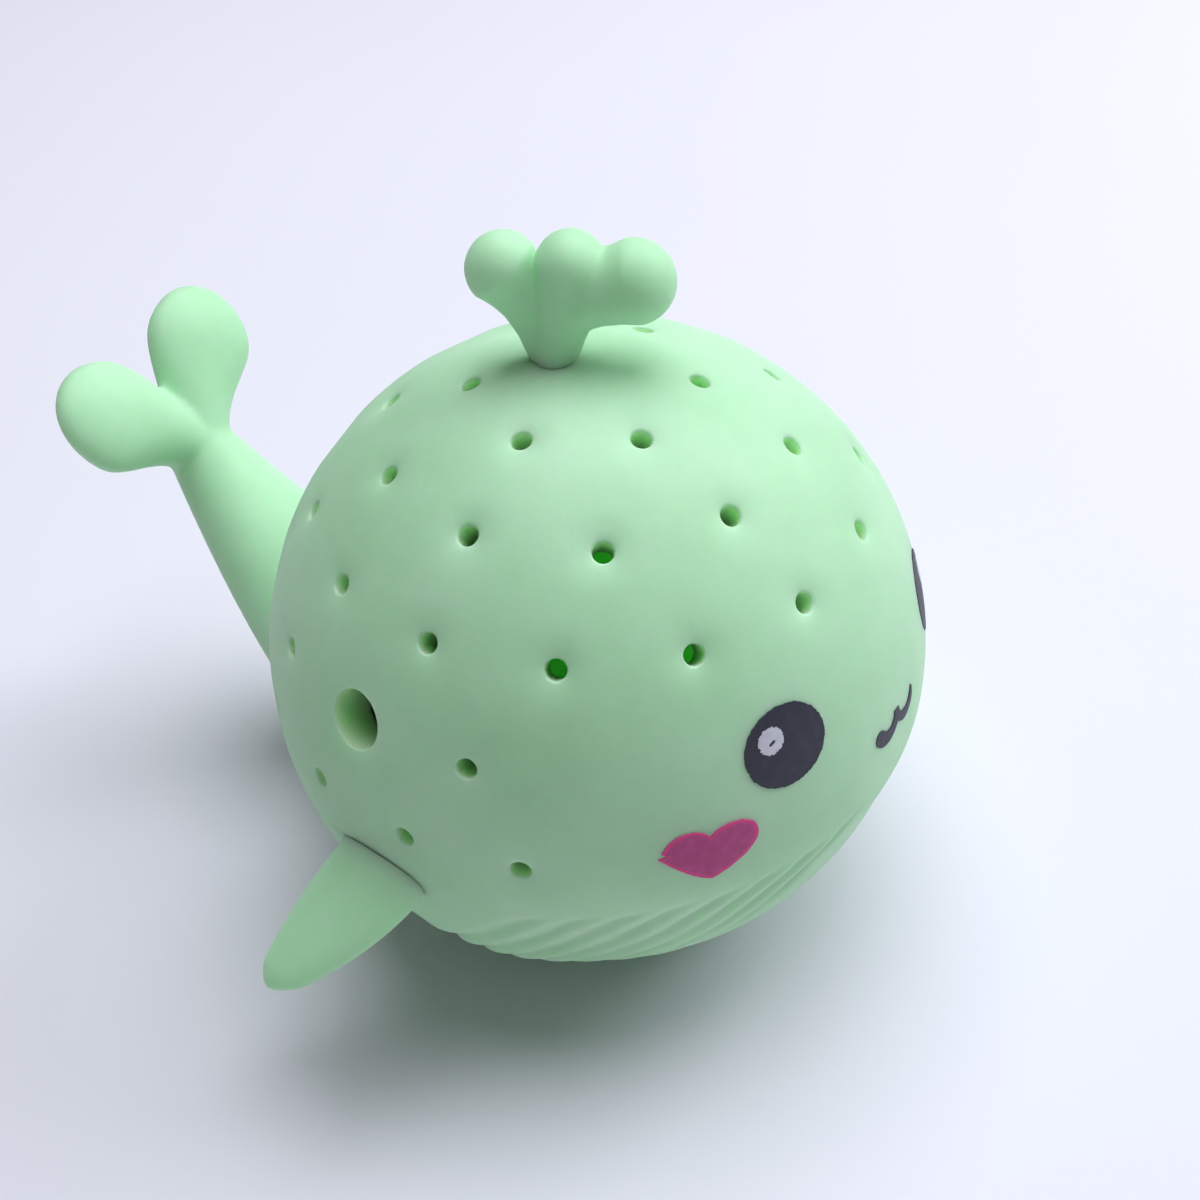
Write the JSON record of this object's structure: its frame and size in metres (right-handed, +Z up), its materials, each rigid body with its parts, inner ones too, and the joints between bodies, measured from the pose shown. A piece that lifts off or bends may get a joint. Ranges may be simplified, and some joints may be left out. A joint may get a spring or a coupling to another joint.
{
  "type": "whale bath toy",
  "caption": "Round hollow whale bath toy with rings of spray holes, an upturned tail, side fins, a three-lobed water spout, a belly stopper and a simple printed face.",
  "frame": {"origin": "centre of the flat foot under the ball, on the surface that the toy stands on", "axes": "+X forwards out of the face, +Y to the whale's left, +Z up"},
  "size_m": [0.0883, 0.083, 0.071],
  "materials": {
    "mint": "matte",
    "stopper": "matte",
    "navy_ink": "satin",
    "white_ink": "satin",
    "pink_ink": "satin"
  },
  "bodies": {
    "body": {"shell_right": "mint", "shell_left": "mint", "eye_right": "navy_ink", "eye_left": "navy_ink", "eye_glint_right": "white_ink", "eye_glint_left": "white_ink", "cheek_right": "pink_ink", "cheek_left": "pink_ink", "mouth": "navy_ink"},
    "fin_right": {"fin_right": "mint", "fin_cap_right": "mint"},
    "fin_left": {"fin_left": "mint", "fin_cap_left": "mint"},
    "tail": {"tail": "mint"},
    "spout": {"spout": "mint"},
    "belly_plug": {"belly_plug": "stopper"}
  },
  "joints": [
    {"name": "spout_swivel", "type": "hinge", "parent": "body", "child": "spout", "pos_m": [0, 0, 0.0285], "axis": [-0.0802, 0, 0.9968], "continuous": true},
    {"name": "tail_swivel", "type": "hinge", "parent": "body", "child": "tail", "pos_m": [0, 0, 0.0285], "axis": [-0.848, 0, -0.5299], "range_deg": [-20, 20]},
    {"name": "fin_right_swivel", "type": "hinge", "parent": "body", "child": "fin_right", "pos_m": [0, 0, 0.0285], "axis": [-0.1152, -0.9809, -0.1564], "range_deg": [-35, 35]},
    {"name": "fin_left_swivel", "type": "hinge", "parent": "body", "child": "fin_left", "pos_m": [0, 0, 0.0285], "axis": [-0.1152, 0.9809, -0.1564], "range_deg": [-35, 35]},
    {"name": "belly_plug_pull", "type": "slide", "parent": "body", "child": "belly_plug", "axis": [0, 0, -1], "range_m": [0, 0.012]}
  ]
}
